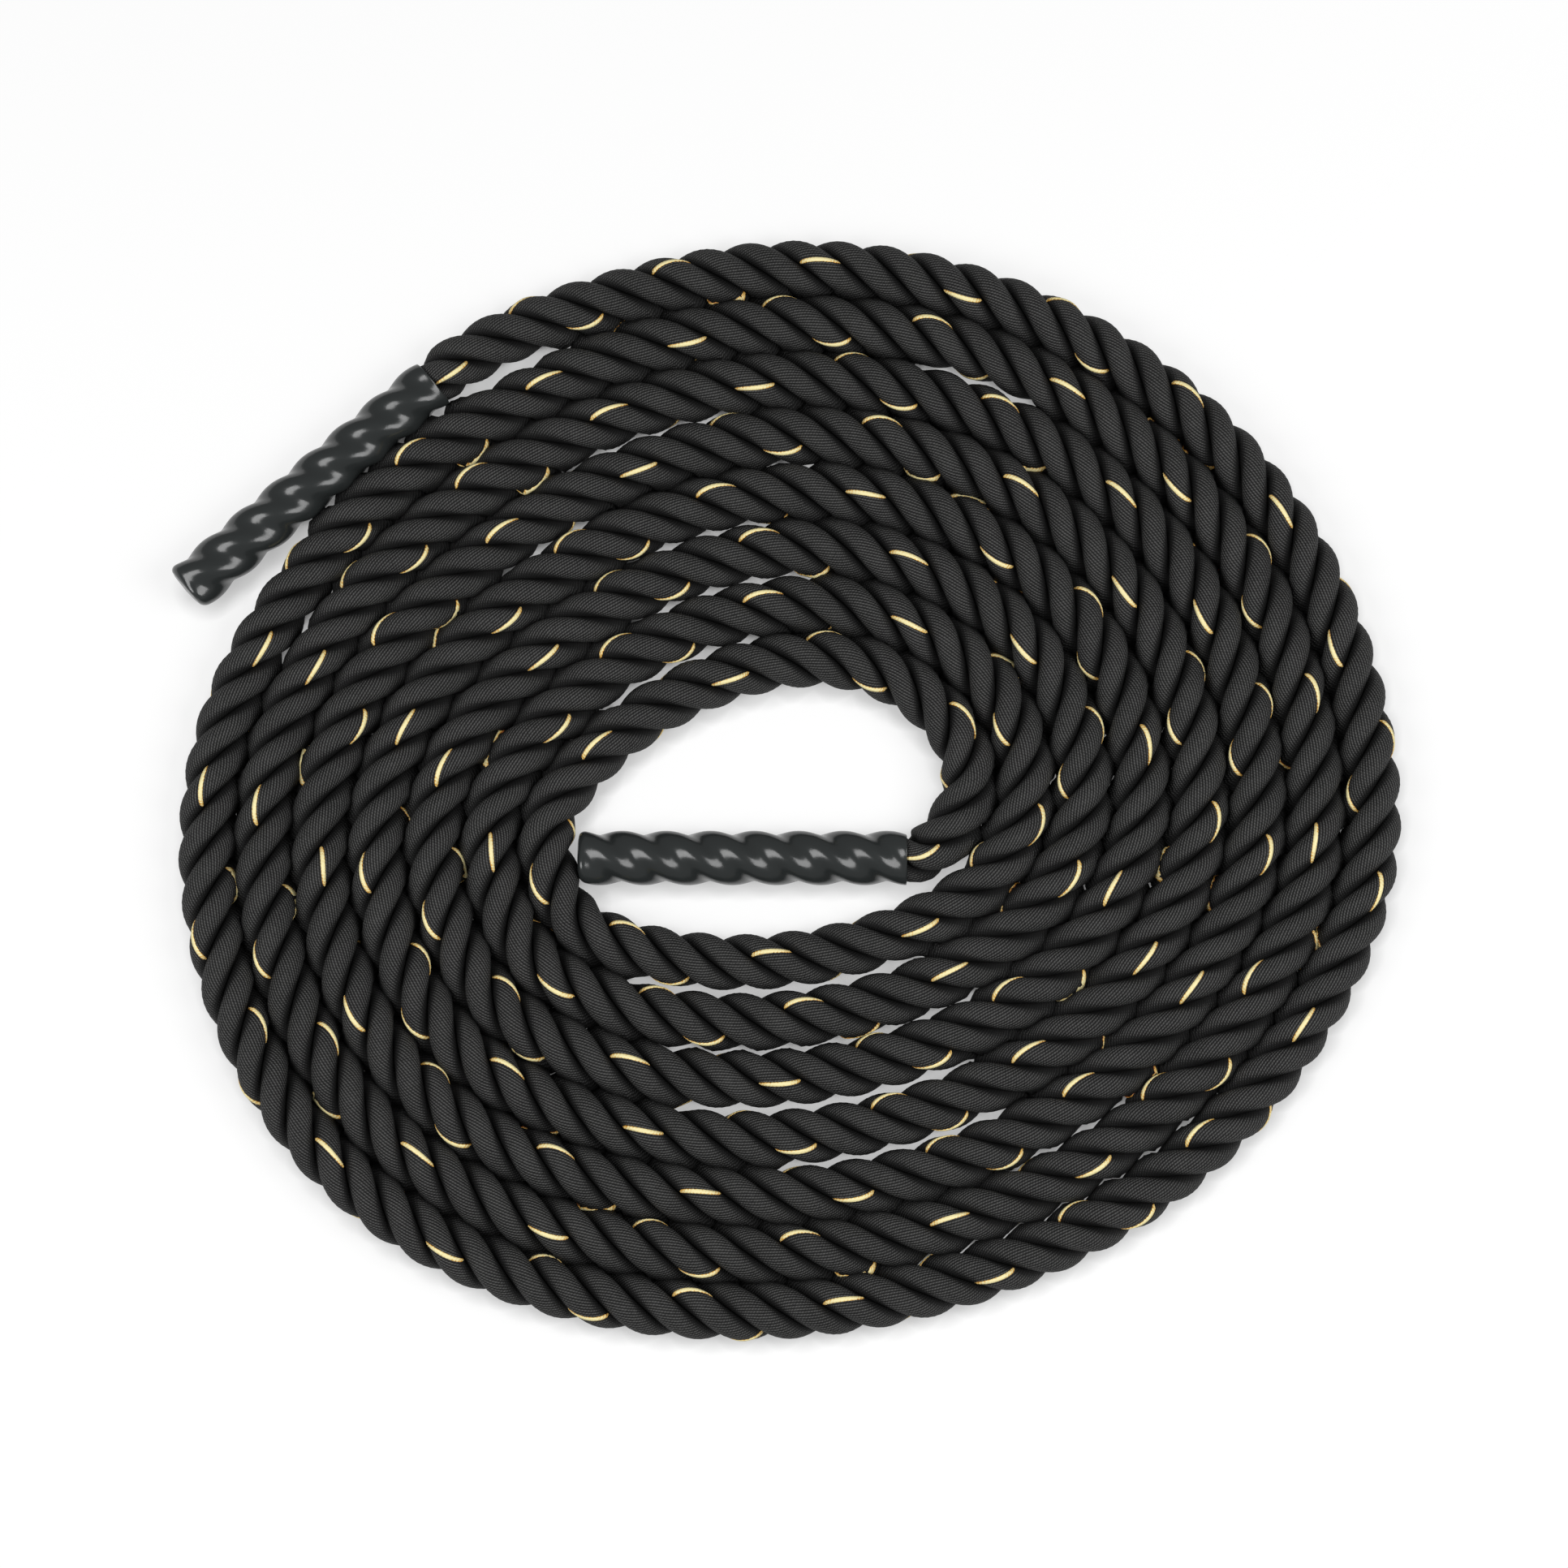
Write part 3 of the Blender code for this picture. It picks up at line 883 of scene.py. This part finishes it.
@dataclass
class TurnPress:
    """How wide the turns' lower halves are pressed, where they lie side by side or beside a grip.

    A spread is a factor on the sideways reach. One table holds the spreads away from the coil's inside,
    and one those towards it, at each place of the line.
    """

    lay: StrandLay
    # The most that neighbours press each other wide, below and above, and how far the two overlap.
    low_spread: float = 1.75
    top_spread: float = 1.02
    overlap: float = 2.6 * MM
    # Below this sine of the angle round the rope all is low, and above the next one all is top.
    low_sine: float = 0.12
    top_sine: float = 0.2
    # Turns press each other from this angle on, up to the last turn. The runs ease it in and out.
    wound_from: float = 5.0
    wound_runs: tuple[float, float] = (20.0, 15.0)
    # Where the photo shows paper between two turns, and how many degrees it takes to open.
    open_edge: float = 3.0
    open_spots: tuple[OpenSpot, ...] = (
        OpenSpot(103, 107, 0.7), OpenSpot(110, 127, 1.0), OpenSpot(256, 292, 1.0),
        OpenSpot(452, 477, 0.75), OpenSpot(621, 658, 0.6), OpenSpot(818, 834, 0.7),
        OpenSpot(985, 1013, 1.0), OpenSpot(1171, 1175, 0.6), OpenSpot(1199, 1207, 0.7),
        OpenSpot(1355, 1375, 1.1), OpenSpot(1541, 1556, 0.7), OpenSpot(1735, 1747, 0.6),
        OpenSpot(1863, 1875, 1.1), OpenSpot(1944, 1951, 0.7), OpenSpot(2085, 2115, 0.4),
    )
    # Where each loose end of the rope presses on the turn beside it, by facing angle.
    ends: tuple[tuple[End, float, float], ...] = ((End.INNER, -42.0, 30.0), (End.OUTER, 2595.0, 2634.0))
    end_spread: float = 1.5
    end_edge: float = 6.0
    end_margin: float = 30.0
    # How far past the most a wanted spread may lie before nothing is pressed, and the run of that fade.
    spare_spread: float = 0.25
    spare_run: float = 0.2
    # How far the outer sleeve reaches from its axis to the turn beside it, how far from its mouth on they
    # touch, and over how many points of the line the spread there is evened out.
    grip_reach: float = 14.2 * MM
    grip_spread: float = 1.62
    grip_touch: float = 158 * MM
    grip_touch_runs: tuple[float, float] = (20 * MM, 50 * MM)
    grip_even: int = 19
    # The press grows from nothing at the line to its full share this far from it, and stops here.
    firm_core: float = 10.5 * MM
    widest: float = 24 * MM
    outward_spread: Array = field(init=False)
    inward_spread: Array = field(init=False)

    def __post_init__(self) -> None:
        """Work out both tables."""
        line = self.lay.line
        self.outward_spread = np.maximum(self.turn_spread(line.facing), self.spread_to_grip(line.distances))
        self.inward_spread = self.turn_spread(line.facing - 360.0)
        for end, first, last in self.ends:
            self.press_end(end, first, last)

    def low_reach(self, distance: Array, side: float) -> Array:
        """How far the rope's lower half reaches to the side at this angle, 0 or 180 degrees."""
        return self.lay.reach_below(distance, side, self.low_sine)

    def limited(self, wanted: Array, most: float) -> Array:
        """Limit a spread, and let it fade where even the most isn't nearly enough.

        Args:
            wanted: The factors that would make the two meet.
            most: The highest factor.

        Returns:
            What each factor adds to 1.
        """
        near = smooth_step((most + self.spare_spread - wanted) / self.spare_run)
        return (np.clip(wanted, 1.0, most) - 1.0) * near

    def turn_spread(self, facing: Array) -> Array:
        """Tell how wide neighbouring turns press each other, to fill the dips between their strands.

        Args:
            facing: Facing angles on the inner turn of the two.

        Returns:
            The spread of both, 1 where they don't touch.
        """
        line, coil = self.lay.line, self.lay.line.coil
        inner, outer = line.distance_at(facing), line.distance_at(facing + 360.0)
        slack = np.array([coil.slack(angle + 360.0) for angle in facing])
        pitch = coil.diameter + coil.turn_gap + self.overlap + slack
        wanted = pitch / (self.low_reach(inner, 180.0) + self.low_reach(outer, 0.0))
        spread = np.clip(wanted, 1.0, self.low_spread) - 1.0
        for spot in self.open_spots:
            edge = np.minimum(facing - spot.first, spot.last - facing)
            spread *= 1.0 - spot.share * smooth_step(edge / self.open_edge + 1.0)
        begin_run, end_run = self.wound_runs
        begun = smooth_step((facing - self.wound_from) / begin_run)
        return 1.0 + spread * (begun * smooth_step((coil.last_angle - 360.0 - facing) / end_run))

    def press_end(self, end: End, first: float, last: float) -> None:
        """Press a loose end of the rope and the turn beside it wide, until they meet.

        Args:
            end: Which end. The turn lies outside the inner one, and inside the outer one.
            first: Facing angle where they start to touch.
            last: Facing angle where they part again.
        """
        line = self.lay.line
        facing, plan = line.facing, line.places[:, :2]
        turn = 360.0 if end is End.INNER else -360.0
        low, high = first + turn - self.end_margin, last + turn + self.end_margin
        free = (line.distances > 0.0) & (line.distances < line.length)
        loose = np.flatnonzero(free & (facing > first) & (facing < last))
        beside = np.flatnonzero((facing > low) & (facing < high))
        gaps = np.linalg.norm(plan[loose, None] - plan[None, beside], axis=2)
        begun, ending = facing[loose] - first, last - facing[loose]
        edges = smooth_step(begun / self.end_edge) * smooth_step(ending / self.end_edge)
        loose_side, loose_spread, beside_side, beside_spread = (
            (180.0, self.outward_spread, 0.0, self.inward_spread) if end is End.INNER
            else (0.0, self.inward_spread, 180.0, self.outward_spread)
        )
        loose_reach = self.low_reach(line.distances[loose], loose_side)
        beside_reach = self.low_reach(line.distances[beside], beside_side)
        to_beside, to_loose = gaps.argmin(axis=1), gaps.argmin(axis=0)
        for part, spreads, gap, reach, share in (
            (loose, loose_spread, gaps.min(axis=1), loose_reach + beside_reach[to_beside], edges),
            (beside, beside_spread, gaps.min(axis=0), beside_reach + loose_reach[to_loose], edges[to_loose]),
        ):
            pressed = self.limited((gap + self.overlap) / reach, self.end_spread)
            spreads[part] = np.maximum(spreads[part], 1.0 + pressed * share)

    def spread_to_grip(self, distance: Array) -> Array:
        """Tell how wide the turn beside the outer grip is pressed against its sleeve.

        Args:
            distance: Distances along the line.

        Returns:
            The spread away from the coil's inside, 1 where there is no sleeve.
        """
        line = self.lay.line
        place, inward = line.at(distance)
        mouth, direction = (np.array(part) for part in line.coil.mouth(End.OUTER))
        across = -inward[:, 0] * direction[1] + inward[:, 1] * direction[0]
        away = ((mouth - place)[:, 0] * direction[1] - (mouth - place)[:, 1] * direction[0]) / across
        along = ((place - away[:, None] * inward - mouth) * direction).sum(axis=1)
        beside = (away > 0.0) & (away < 2 * line.coil.diameter)
        beside &= (distance > line.length / 2) & (distance < line.length - line.coil.grip_length)
        wanted = (away - self.grip_reach) / self.low_reach(distance, 180.0)
        begin_run, end_run = self.grip_touch_runs
        touching = smooth_step((along + begin_run) / begin_run) * smooth_step(
            (self.grip_touch - along) / end_run
        )
        spread = np.where(beside, self.limited(wanted, self.grip_spread) * touching, 0.0)
        kernel = np.hanning(self.grip_even)
        return 1.0 + np.convolve(spread, kernel / kernel.sum(), mode="same")

    def widen(self, distance: Array, sideways: Array, rise: Array) -> Array:
        """Press points of the rope's surface sideways.

        Args:
            distance: Where along the rope they are.
            sideways: How far from the line they are, towards the coil's inside.
            rise: Sines of their angles round the rope, 1 at its top.

        Returns:
            How far sideways they are once they are pressed.
        """
        inward, outward = (
            np.interp(distance, self.lay.line.distances, table)
            for table in (self.inward_spread, self.outward_spread)
        )
        pressed = np.where(sideways > 0.0, inward, outward) - 1.0
        top_pressed = np.minimum(pressed, self.top_spread - 1.0)
        low = smooth_step((self.top_sine - rise) / (self.low_sine + self.top_sine))
        pressed = top_pressed + (pressed - top_pressed) * low
        sideways = sideways * (1.0 + pressed * smooth_step(np.abs(sideways) / self.firm_core))
        return np.clip(sideways, -self.widest, self.widest)


@dataclass
class LaidRope:
    """The rope's strands, their ends in the grips, and the marker yarn in the first one.

    A strand's section is square to the strand, so it leans across the rope, and where two strands press
    on each other both stop at the plane between them.
    """

    lay: StrandLay
    press: TurnPress
    # The bare strands are tucked into the sleeves, and those inside stop short of the closed end.
    tuck: float = 8 * MM
    closed_end: float = 8 * MM
    # A strand's rings are this far apart. Its sides are finer in the half that can be seen.
    ring_step: float = 3.3 * MM
    shown_half: float = 130.0
    open_sides: int = 18
    hidden_sides: int = 6
    # The marker yarn is full where it shows, and thin and sunk deeper where it is hidden.
    yarn_turns: float = 2.74
    marker_half_width: float = 1.8 * MM
    marker_half_height: float = 0.9 * MM
    marker_thin: float = 0.4
    marker_shows_from: float = -0.25
    marker_swells_over: float = 0.4
    marker_sunk: float = 0.35 * MM
    marker_sinks: float = 0.6 * MM
    marker_rings: int = 24
    marker_sides: int = 8

    def surface(self, distance: Array, turn: Array, number: int, proud: Array | float) -> Array:
        """Find points of a strand's surface.

        Args:
            distance: Where along the rope each point's section starts.
            turn: Angle round the strand in radians, 0 where it faces away from the rope's middle.
            number: Which strand.
            proud: How far above the strand's surface.

        Returns:
            The points, in the shape of the arguments broadcast together.
        """
        lay = self.lay
        radius = lay.radius + proud
        away = lay.circle + radius * np.cos(turn)
        aside = radius * np.sin(turn) * math.cos(lay.lean)
        there = distance - radius * np.sin(turn) * math.sin(lay.lean)
        offset = 2 * math.pi * number / lay.strands
        own = lay.angle(there) + offset
        limit = math.radians(lay.press_angle)
        spread = np.clip(lay.angle(distance) + offset - own + np.arctan2(aside, away), -limit, limit)
        reach = np.hypot(away, aside) * lay.scale(there)
        angle = own + spread
        rise = np.sin(angle)
        sideways = self.press.widen(there, reach * np.cos(angle), rise)
        place, inward = lay.line.at(there)
        place = place + sideways[..., None] * inward
        place[..., 2] = np.maximum(place[..., 2] + reach * rise, 0.0)
        return place

    def tube(
        self, number: int, distance: Array, turn: Array, proud: Array | float, round_tube: Array
    ) -> Shape:
        """Sweep a tube on a strand.

        Args:
            number: Which strand.
            distance: Where along the rope each ring starts, in a column.
            turn: Angles round the strand, in radians.
            proud: How far above the strand's surface.
            round_tube: Angles round the tube itself, in a row, for its map.

        Returns:
            The tube, whose map has the lays along the rope and the turns round the tube.
        """
        lays = self.lay.angle(distance) / (2 * math.pi) + np.zeros_like(round_tube)
        marks = np.stack([lays, round_tube / (2 * math.pi) + np.zeros_like(distance)], axis=-1)
        return swept_tube(self.surface(distance, turn, number, proud), marks)

    def strand_tube(self, number: int, begin: float, finish: float) -> Shape:
        """Sweep one strand.

        Args:
            number: Which strand.
            begin: Distance along the rope where it starts.
            finish: Distance where it ends.

        Returns:
            The strand.
        """
        rings = max(2, round((finish - begin) / self.ring_step))
        distance = np.linspace(begin, finish, rings + 1)[:, None]
        shown = np.linspace(-self.shown_half, self.shown_half, self.open_sides + 1)
        hidden = np.linspace(self.shown_half, 360.0 - self.shown_half, self.hidden_sides + 1)[1:]
        turn = np.radians(np.concatenate([shown, hidden]))[None, :]
        return self.tube(number, distance, turn, 0.0, turn)

    def marker_tube(self) -> Shape:
        """Sweep the marker yarn, which winds round the first strand and shows once in each turn round it.

        Returns:
            The yarn, along the whole bare rope.
        """
        lay = self.lay
        begin, finish = -self.tuck, lay.line.length + self.tuck
        whole_turns = (finish - begin) / (lay.length / self.yarn_turns)
        distance = np.linspace(begin, finish, round(whole_turns * self.marker_rings) + 1)[:, None]
        round_yarn = np.linspace(0.0, 2 * math.pi, self.marker_sides + 1)[None, :]
        wound = -self.yarn_turns * (lay.angle(distance) - math.radians(lay.marker_angle))
        half_turn = self.marker_half_width / math.cos(lay.lean) / lay.radius
        shown = smooth_step((np.cos(wound) - self.marker_shows_from) / self.marker_swells_over)
        thick = self.marker_thin + (1.0 - self.marker_thin) * shown
        sunk = self.marker_sunk + self.marker_sinks * (1.0 - thick)
        turn = wound + thick * half_turn * np.cos(round_yarn)
        proud = self.marker_half_height * thick * np.sin(round_yarn) - sunk
        return self.tube(0, distance, turn, proud, round_yarn)

    def build(self) -> None:
        lay, line, coil = self.lay, self.lay.line, self.lay.line.coil
        black = LaidPolyester(lay.length, self.yarn_turns).make()
        gold = MarkerYarn(lay.length, self.yarn_turns, lay.marker_angle).make()
        length, held = line.length, coil.grip_length - self.closed_end
        bare = [
            add_piece(
                f"laid_strand_{number + 1}", self.strand_tube(number, -self.tuck, length + self.tuck), black,
                Slot.ROPE, "rope_coil", "rope_lead",
            )
            for number in range(lay.strands)
        ]
        marker = add_piece("marker_yarn", self.marker_tube(), gold, Slot.ROPE)
        for end, begin, finish in (
            (End.INNER, -held, -self.tuck - MM), (End.OUTER, length + self.tuck + MM, length + held),
        ):
            for number in range(lay.strands):
                add_piece(
                    f"{end.value}_grip_strand_{number + 1}", self.strand_tube(number, begin, finish), black,
                    Slot.ROPE, f"{end.value}_strand_end_{number + 1}",
                )
        mouth = coil.mouth(End.INNER)[0]
        line.path()


# The grips


@dataclass
class ShrunkGrip:
    """A grip's sleeve: a crest over each strand, a narrower valley between two, and a rounded closed end."""

    coil: OvalCoil
    end: End
    radius: float = 18.75 * MM
    valley: float = 2.9 * MM
    valley_shape: float = 1.15
    lay: float = 91 * MM
    wall: float = 1.8 * MM
    # The inner grip's closed end presses on the first turn, so its sleeve is this much longer.
    pressed_end: float = 2 * MM
    lip: float = 0.7 * MM
    lip_run: float = 1.3
    bore: float = 16 * MM
    rounding: float = 5 * MM
    rounding_inset: float = 0.8
    dish: float = 1.2 * MM
    lobes: int = 3
    sides: int = 72
    steps: int = 110
    bore_steps: int = 6
    rounding_steps: int = 7

    def lobed_radius(self, angle: float) -> float:
        """Outer radius at this angle in radians from a crest."""
        wave = (1.0 - math.cos(self.lobes * angle)) / 2
        return self.radius - self.valley * wave ** self.valley_shape

    def place_ring(self, ring: Ring, inset: float, height: float) -> None:
        """Set a ring round the axis, turned as the lay is there.

        Args:
            ring: Its vertices, in order.
            inset: How far inside the outer surface.
            height: How far from the mouth.
        """
        twist = Matrix.Rotation(2 * math.pi * height / self.lay, 3, "Z")
        for index, vertex in enumerate(ring):
            angle = 2 * math.pi * index / len(ring)
            reach = self.lobed_radius(angle) - inset
            vertex.co = twist @ Vector((reach * math.cos(angle), reach * math.sin(angle), height))

    @staticmethod
    def ring_edges(ring: Ring) -> list[bmesh.types.BMEdge]:
        """The edges from each vertex of a closed ring to the next."""
        return [
            edge for first, second in zip(ring, ring[1:] + ring[:1]) for edge in first.link_edges
            if edge.other_vert(first) is second
        ]

    def screw(
        self, shape: Shape, ring: Ring, run: float, steps: int
    ) -> Ring:
        """Extrude a ring along the axis with the lay's twist.

        Args:
            shape: The sleeve so far.
            ring: Its last ring, in order.
            run: How far to go; negative is towards the mouth.
            steps: Rings to add.

        Returns:
            The new last ring, in the same order.
        """
        twist = 2 * math.pi * run / self.lay
        start = math.atan2(ring[0].co.y, ring[0].co.x)
        made = bmesh.ops.spin(
            shape, geom=self.ring_edges(ring), cent=(0.0, 0.0, 0.0), axis=(0.0, 0.0, 1.0),
            dvec=(0.0, 0.0, run / steps), angle=twist, steps=steps, use_merge=False, use_duplicate=False,
        )
        keyed = {}
        for vertex in made["geom_last"]:
            if isinstance(vertex, bmesh.types.BMVert):
                angle = math.atan2(vertex.co.y, vertex.co.x) - twist - start
                keyed[round(angle / (2 * math.pi) * len(ring)) % len(ring)] = vertex
        return [keyed[index] for index in range(len(ring))]

    def extend(
        self, shape: Shape, ring: Ring, inset: float, height: float
    ) -> Ring:
        """Extrude a ring and set the new one round the axis.

        Args:
            shape: The sleeve so far.
            ring: Its last ring, in order.
            inset: How far inside the outer surface the new ring lies.
            height: How far from the mouth it lies.

        Returns:
            The new ring, in the same order.
        """
        made = bmesh.ops.extrude_edge_only(shape, edges=self.ring_edges(ring))
        twin = {
            vertex.co.to_tuple(7): vertex for vertex in made["geom"] if isinstance(vertex, bmesh.types.BMVert)
        }
        following = [twin[vertex.co.to_tuple(7)] for vertex in ring]
        self.place_ring(following, inset, height)
        return following

    def build(self, surface: bpy.types.Material) -> bpy.types.Object:
        """Make the sleeve from its bore, over its mouth and along its outside to the closed end.

        Args:
            surface: Its material.

        Returns:
            The sleeve's object.
        """
        shape = bmesh.new()
        circle = bmesh.ops.create_circle(shape, cap_ends=False, segments=self.sides, radius=self.radius)
        ring = sorted(
            circle["verts"], key=lambda vertex: math.atan2(vertex.co.y, vertex.co.x) % (2 * math.pi)
        )
        self.place_ring(ring, self.wall, self.bore)
        ring = self.screw(shape, ring, self.lip - self.bore, self.bore_steps)
        outside = self.lip_run * self.lip
        for inset, height in (
            (self.wall - self.lip / 2, 0.0), (self.lip, 0.0), (0.25 * self.lip, 0.3 * self.lip),
            (0.0, outside),
        ):
            ring = self.extend(shape, ring, inset, height)
        length = self.coil.grip_length + (self.pressed_end if self.end is End.INNER else 0.0)
        ring = self.screw(shape, ring, length - self.rounding - outside, self.steps)
        for step in range(1, self.rounding_steps + 1):
            bend = math.pi / 2 * step / self.rounding_steps
            ring = self.extend(
                shape, ring, self.rounding * (1 - math.cos(bend)) * self.rounding_inset,
                length - self.rounding * (1 - math.sin(bend)),
            )
        cap = bmesh.ops.contextual_create(shape, geom=self.ring_edges(ring))["faces"]
        bmesh.ops.inset_region(shape, faces=cap, thickness=self.rounding / 2, depth=-self.dish / 2)
        bmesh.ops.poke(shape, faces=cap, offset=-self.dish / 2)
        inner_hole = [edge for edge in shape.edges if edge.is_boundary]
        bmesh.ops.holes_fill(shape, edges=inner_hole, sides=0)
        mouth, direction = self.coil.mouth(self.end)
        turned = direction.to_track_quat("Z", "Y").to_matrix().to_4x4()
        bmesh.ops.transform(shape, matrix=Matrix.Translation(mouth) @ turned, verts=shape.verts)
        bmesh.ops.recalc_face_normals(shape, faces=shape.faces)
        return add_piece(
            f"{self.end.value}_grip_sleeve_shrunk", shape, surface, Slot.SLEEVE,
            f"{self.end.value}_grip_sleeve",
        )


# Studio


@dataclass(frozen=True)
class Softbox:
    """A softbox: its name, its middle, its two sides in metres and its power in watts."""

    name: str
    middle: tuple[float, float, float]
    sides: tuple[float, float]
    power: float

    def hang(self, aim: Vector) -> None:
        """Hang the softbox so that it faces a point.

        Args:
            aim: The point.
        """
        data = bpy.data.lights.new(self.name, "AREA")
        data.shape = "RECTANGLE"
        data.size, data.size_y = self.sides
        data.energy = self.power
        lamp = bpy.data.objects.new(self.name, data)
        bpy.context.scene.collection.objects.link(lamp)
        lamp.location = self.middle
        lamp.rotation_euler = (Vector(self.middle) - aim).to_track_quat("Z", "Y").to_euler()


@dataclass
class Studio:
    """Camera, softboxes, plain world and paper floor."""

    middle: Vector = field(default_factory=lambda: Vector((-0.0008, -0.0018, 0.019)))
    view_width: float = 1.0796
    lens: float = 100.0
    sensor: float = 36.0
    elevation: float = 82.5
    clip: tuple[float, float] = (0.01, 50.0)
    sky: float = 0.2
    softboxes: tuple[Softbox, ...] = (
        Softbox("left_softbox", (-1.55, -0.6, 2.0), (1.2, 1.5), 35.0),
        Softbox("right_softbox", (1.55, -0.2, 2.0), (1.4, 1.5), 37.0),
    )
    floor_size: float = 16.0
    floor_drop: float = 0.2 * MM

    def set_camera(self) -> None:
        """Put the camera almost straight above the rope."""
        data = bpy.data.cameras.new("camera")
        data.lens, data.sensor_width = self.lens, self.sensor
        data.clip_start, data.clip_end = self.clip
        camera = bpy.data.objects.new("camera", data)
        bpy.context.scene.collection.objects.link(camera)
        rise = math.radians(self.elevation)
        back = Vector((0.0, -math.cos(rise), math.sin(rise)))
        camera.location = self.middle + back * (self.view_width * self.lens / self.sensor)
        camera.rotation_euler = (-back).to_track_quat("-Z", "Y").to_euler()
        bpy.context.scene.camera = camera

    def lay_paper(self) -> None:
        """Lay the paper floor just under the rope."""
        shape = bmesh.new()
        bmesh.ops.create_grid(shape, x_segments=1, y_segments=1, size=self.floor_size)
        bmesh.ops.translate(shape, verts=shape.verts, vec=(0.0, 0.0, -self.floor_drop))
        mesh = bpy.data.meshes.new("paper_floor")
        shape.to_mesh(mesh)
        shape.free()
        mesh.materials.append(StudioPaper().make())
        floor = bpy.data.objects.new("paper_floor", mesh)
        bpy.context.scene.collection.objects.link(floor)

    def build(self) -> None:
        """Set the light, the world and the floor."""
        scene = bpy.context.scene
        scene.view_settings.view_transform = "Standard"
        for softbox in self.softboxes:
            softbox.hang(self.middle)
        world = bpy.data.worlds.new("studio")
        world.use_nodes = True
        world.node_tree.nodes.clear()
        white = {"Color": (1.0, 1.0, 1.0, 1.0), "Strength": self.sky}
        add_node(world.node_tree, "OutputWorld", (add_node(world.node_tree, "Background", white),))
        scene.world = world
        self.lay_paper()


def main() -> None:
    """Build the camera, the rope, its grips and the studio."""
    logging.basicConfig(level=logging.INFO, format="%(name)s: %(message)s")
    studio = Studio()
    studio.set_camera()
    coil = OvalCoil()
    line = RopeLine(coil)
    LOG.info("free rope %.3f m", line.length)
    lay = StrandLay(line)
    LaidRope(lay, TurnPress(lay)).build()
    sleeve = ShrunkPolyolefin().make()
    tape = BindingTape().make()
    for end in End:
        ShrunkGrip(coil, end).build(sleeve)
        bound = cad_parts[f"{end.value}_end_tape"]
        for held in bound.material_slots:
            held.material = tape
        LOG.info("%s: cloth tape", bound.name)
    studio.build()


if __name__ == "__main__":
    main()
